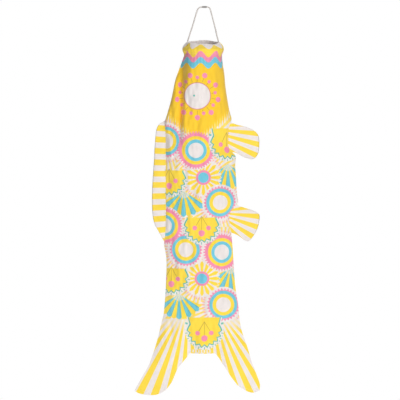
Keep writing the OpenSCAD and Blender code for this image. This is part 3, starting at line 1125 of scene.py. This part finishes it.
@dataclass
class Bridle:
    """The cord that carries the windsock, and its bound splice."""

    diameter: float = 4.0
    strands: int = 3
    lay: float = 13.0
    tip: float = 0.4
    thread: float = 0.42
    splice_x: float = 4.0
    splice_length: float = 13.0
    route: tuple[Point, ...] = (
        (-44, -98.6), (-38.5, -81), (-34, -67), (-30, -55), (-26.5, -43), (-22.5, -30), (-19, -18),
        (-16, -9), (-13.5, -5), (-10, -2.2), (-6, -0.8), (-2.5, -0.3), (4, -0.3), (10.5, -0.3), (14, -0.8),
        (17.5, -2.6), (19.8, -6), (21.5, -11), (24, -20), (26.5, -30), (30, -43), (33, -55), (36, -67),
        (39, -81), (44, -98.6))

    def cord(self, finish: bpy.types.Material) -> None:
        """A cord of three strands laid together, from one side of the mouth to the other."""
        path = curve_through([(x, 0.0, z) for x, z in self.route], 16)
        around = np.arange(24) * math.pi / 12
        radius = self.diameter / 2 * (0.87 + 0.13 * np.cos(self.strands * around))
        lobes = list(zip(radius * np.cos(around), radius * np.sin(around)))
        piece = sweep("bridle_cord_rope", path, lobes, 1 / self.lay, self.tip)
        piece.data.materials.append(finish)
        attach(piece, "bridle")
        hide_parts("bridle_cord")

    def splice(self, finish: bpy.types.Material) -> bpy.types.Object:
        """The thread wound round the cord where its two ends meet."""
        thread = self.thread
        wind = self.diameter / 2 + thread
        turns = self.splice_length / (2 * thread) - 1
        a = np.linspace(0, 2 * math.pi * turns, int(turns * 20))
        x = self.splice_x - self.splice_length / 2 + thread + a / (2 * math.pi) * 2 * thread
        path = np.stack([x, wind * np.cos(a), wind * np.sin(a) - 0.3], 1)
        circle = [(thread * math.cos(b), thread * math.sin(b)) for b in np.arange(8) * math.pi / 4]
        piece = sweep("splice_thread", path, circle, 0.0)
        piece.data.materials.append(finish)
        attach(piece, "bridle")
        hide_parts("top_splice")
        return piece

    def build(self) -> None:
        """Makes the cord and the splice."""
        thread = PlainFinish("binding_thread", Ink.THREAD, 0.8, sheen=0.2).build()
        cotton = PlainFinish("bridle_cotton", Ink.CORD, 0.9, sheen=0.4).build()
        splice = self.splice(thread)
        self.cord(cotton)


@dataclass
class Stitching:
    """Rows of stitches, laid by one node tree along the paths of the seams."""

    length: float = 2.6
    gap: float = 1.3
    radius: float = 0.22
    smallest: float = 0.9
    biggest: float = 1.08
    seed: int = 4
    group: bpy.types.NodeTree = field(init=False)

    def __post_init__(self) -> None:
        """Builds the node tree once, with the thread's finish in it."""
        self.group = self.tree(PlainFinish("seam_thread", Ink.SEAM, 0.75, sheen=0.2).build())

    def tree(self, finish: bpy.types.Material) -> bpy.types.NodeTree:
        """The node tree: a capsule at each step of the path, turned along it."""
        group = bpy.data.node_groups.new("stitch_row", "GeometryNodeTree")
        face = group.interface
        face.new_socket("Path", in_out="INPUT", socket_type="NodeSocketGeometry")
        for title in ("Step", "Length", "Radius"):
            face.new_socket(title, in_out="INPUT", socket_type="NodeSocketFloat")
        face.new_socket("Seed", in_out="INPUT", socket_type="NodeSocketInt")
        face.new_socket("Stitches", in_out="OUTPUT", socket_type="NodeSocketGeometry")
        work = NodeWork(group)
        given = work.node("NodeGroupInput")
        points = work.node("GeometryNodeCurveToPoints", {"mode": "LENGTH"},
                           {"Curve": given.outputs["Path"], "Length": given.outputs["Step"]})
        capsule = work.node("GeometryNodeMeshUVSphere", inputs={"Segments": 6, "Rings": 4, "Radius": 1.0})
        half = work.node("ShaderNodeMath", {"operation": "MULTIPLY"}, {0: given.outputs["Length"], 1: 0.5})
        thick = given.outputs["Radius"]
        size = work.node("ShaderNodeCombineXYZ", inputs={0: thick, 1: thick, 2: half.outputs[0]})
        vary = work.node("FunctionNodeRandomValue", {"data_type": "FLOAT"},
                         {2: self.smallest, 3: self.biggest, "Seed": given.outputs["Seed"]})
        scale = work.node("ShaderNodeVectorMath", {"operation": "SCALE"},
                          {0: size.outputs[0], 3: vary.outputs[1]})
        place = work.node("GeometryNodeInstanceOnPoints", inputs={
            "Points": points.outputs["Points"], "Instance": capsule.outputs["Mesh"],
            "Rotation": points.outputs["Rotation"], "Scale": scale.outputs[0]})
        real = work.node("GeometryNodeRealizeInstances", inputs={0: place.outputs[0]})
        smooth = work.node("GeometryNodeSetShadeSmooth", inputs={0: real.outputs[0]})
        painted = work.node("GeometryNodeSetMaterial", inputs={0: smooth.outputs[0], "Material": finish})
        work.node("NodeGroupOutput", inputs={0: painted.outputs[0]})
        return group

    def sew(self, name: str, paths: Sequence[np.ndarray]) -> bpy.types.Object:
        """Rows of stitches along paths in millimetres, as one plain mesh object.

        Args:
            name: the piece's name.
            paths: the lines to sew along.

        Returns:
            The piece.
        """
        curve = bpy.data.curves.new(name + "_path", "CURVE")
        curve.dimensions = "3D"
        for path in paths:
            spline = curve.splines.new("POLY")
            spline.points.add(len(path) - 1)
            spline.points.foreach_set("co", np.hstack([path * MM, np.ones((len(path), 1))]).ravel())
        guide = add_object(name + "_path", curve)
        row = guide.modifiers.new("stitches", "NODES")
        row.node_group = self.group
        sizes = {"Step": (self.length + self.gap) * MM, "Length": self.length * MM,
                 "Radius": self.radius * MM, "Seed": self.seed}
        for item in self.group.interface.items_tree:
            if item.name in sizes:
                row[item.identifier] = sizes[item.name]
        mesh = evaluated_mesh(guide)
        bpy.data.objects.remove(guide)
        return add_object(name, mesh)


@dataclass
class Studio:
    """A pale floor, a white room, soft lights and the camera."""

    aim: Vector = field(default_factory=lambda: Vector((-0.0085, 0.0, -0.5435)))
    distance: float = 6.0
    elevation: float = 5.0
    framed: float = 1.1305
    floor_half: float = 2600.0
    floor_z: float = -2300.0

    def camera(self) -> None:
        """A long lens, a little above the level of the object's middle."""
        data = bpy.data.cameras.new("camera")
        data.sensor_width = 36.0
        data.lens = 36.0 * self.distance / self.framed
        camera = add_object("camera", data)
        tilt = math.radians(self.elevation)
        camera.location = self.aim + Vector((0, -math.cos(tilt), math.sin(tilt))) * self.distance
        camera.rotation_euler = (math.pi / 2 - tilt, 0, 0)
        bpy.context.scene.camera = camera

    def light(self, name: str, place: Sequence[float], size: float, power: float) -> None:
        """One soft square light that looks at the object."""
        data = bpy.data.lights.new(name, "AREA")
        data.size = size
        data.energy = power
        lamp = add_object(name, data)
        lamp.location = place
        lamp.rotation_euler = (self.aim - Vector(place)).to_track_quat("-Z", "Y").to_euler()

    def room(self) -> None:
        """The white room round the object, brighter to the eye than as a light."""
        world = bpy.data.worlds.new("room")
        bpy.context.scene.world = world
        world.use_nodes = True
        work = NodeWork(world.node_tree)
        sight = work.node("ShaderNodeLightPath").outputs["Is Camera Ray"]
        level = work.node("ShaderNodeMapRange", inputs={"Value": sight, "To Min": 0.17, "To Max": 1.0})
        background = work.tree.nodes["Background"]
        work.feed(background.inputs["Color"], (1, 1, 1, 1))
        work.feed(background.inputs["Strength"], level.outputs[0])
        bpy.context.scene.view_settings.view_transform = "Standard"

    def floor(self) -> None:
        """A pale floor well below the tail, which glows a little so that it stays as light as the room."""
        paint = NodeBoard("floor_paint").dress({
            "Base Color": (0.9, 0.9, 0.9, 1.0),
            "Roughness": 0.8,
            "Emission Color": (1.0, 1.0, 1.0, 1.0),
            "Emission Strength": 0.32,
        })
        square = np.array([(-1, -1, 0), (1, -1, 0), (1, 1, 0), (-1, 1, 0)], float) * self.floor_half
        corners = square + np.array([0, 0, self.floor_z])
        piece = mesh_object("studio_floor", corners, [(0, 1, 2, 3)], {})
        piece.data.materials.append(paint)

    def build(self) -> None:
        """Sets up the whole studio."""
        self.camera()
        self.room()
        self.light("key", (1.8, -3.0, 0.4), 0.8, 54.0)
        self.light("fill", (-0.3, -3.5, -1.4), 1.6, 37.0)
        self.light("back", (1.6, 7.2, 1.3), 4.0, 235.0)
        self.light("mouth", (-0.6, -2.8, 1.5), 0.8, 13.0)
        self.light("overhead", (0.0, 2.5, 4.6), 3.5, 165.0)
        self.floor()


def dress_frame_parts() -> None:
    """Gives the hidden hoop, its ferrule and the cord's ties their finishes."""
    finishes = {
        "mouth_hoop": PlainFinish("hoop_plastic", (0.80, 0.79, 0.75, 1.0), 0.45, relief=0.00003),
        "hoop_ferrule": PlainFinish("ferrule_metal", (0.6, 0.61, 0.62, 1.0), 0.35, metallic=1.0),
    }
    tie = PlainFinish("tie_cotton", Ink.CORD, 0.9, sheen=0.4).build()
    for node, finish in finishes.items():
        paint(node, finish.build())
    for node in ("left_hoop_tie", "right_hoop_tie"):
        paint(node, tie)


def paint(node: str, finish: bpy.types.Material) -> None:
    """Puts a finish on every material slot of a CAD part."""
    part = bpy.data.objects[node]
    for slot in part.material_slots:
        slot.material = finish
    if not part.material_slots:
        part.data.materials.append(finish)


def main() -> None:
    """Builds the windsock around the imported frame."""
    logging.basicConfig(level=logging.INFO, format="%(message)s")
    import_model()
    Studio().build()
    Bridle().build()
    drape = Drape()
    tube = BodyTube(drape)
    print_finish = BodyPrint().build()
    stitching = Stitching()
    MouthHem(tube).build(print_finish, stitching)
    tube.build(print_finish, stitching)
    TailLobe(
        "left_lobe_cloth", "left_lobe", tube, 0, tube.crotch_left,
        outer=((-140, -975), (-156, -1018), (-178, -1056)),
        foot=((-195, -1088), (-176, -1097), (-136, -1100), (-107, -1088)),
        inner=((-47, -994), (-60, -1010), (-71, -1024), (-80, -1043), (-90, -1066)),
        flat=(0.22, 0.12)).build(print_finish, stitching)
    TailLobe(
        "right_lobe_cloth", "right_lobe", tube, tube.crotch_right, tube.columns,
        outer=((47, -997), (62, -1021), (80, -1049)),
        foot=((98, -1073), (119, -1088), (142, -1095), (161, -1089)),
        inner=((129, -972), (138, -1003), (152, -1041), (162, -1070)),
        flat=(0.20, 0.12)).build(print_finish, stitching)
    stripes = StripedPrint().build()
    Fin("dorsal_fin_cloth", "dorsal_fin", tube, -318, -662,
        ((-124, -330), (-132, -348), (-136, -390), (-139, -444), (-143, -503), (-144, -560),
         (-139, -605), (-126, -632), (-114, -655)), (0.035, 0.34),
        apex=(1500, -480), start=-4.93, period=1.13, on_left=True, rows=14, columns=110,
        stitch_row=12).build(stripes, stitching)
    Fin("pectoral_fin_cloth", "pectoral_fin", tube, -324, -408,
        ((98, -331), (120, -336), (139, -344), (154, -357), (158.7, -376), (158, -400), (154, -416),
         (141, -428), (119, -424), (95, -411)), (0.085, 0.10),
        apex=(-17, -339), start=5.5, period=9.8).build(stripes, stitching)
    Fin("ventral_fin_cloth", "ventral_fin", tube, -556, -636,
        ((110, -563), (141, -573), (157, -582), (160, -592), (157, -616), (148, -637), (137, -653),
         (127, -661), (116, -656), (98, -643)), (0.08, 0.09),
        apex=(34, -579), start=5.2, period=13.8).build(stripes, stitching)
    dress_frame_parts()


if __name__ == "__main__":
    main()
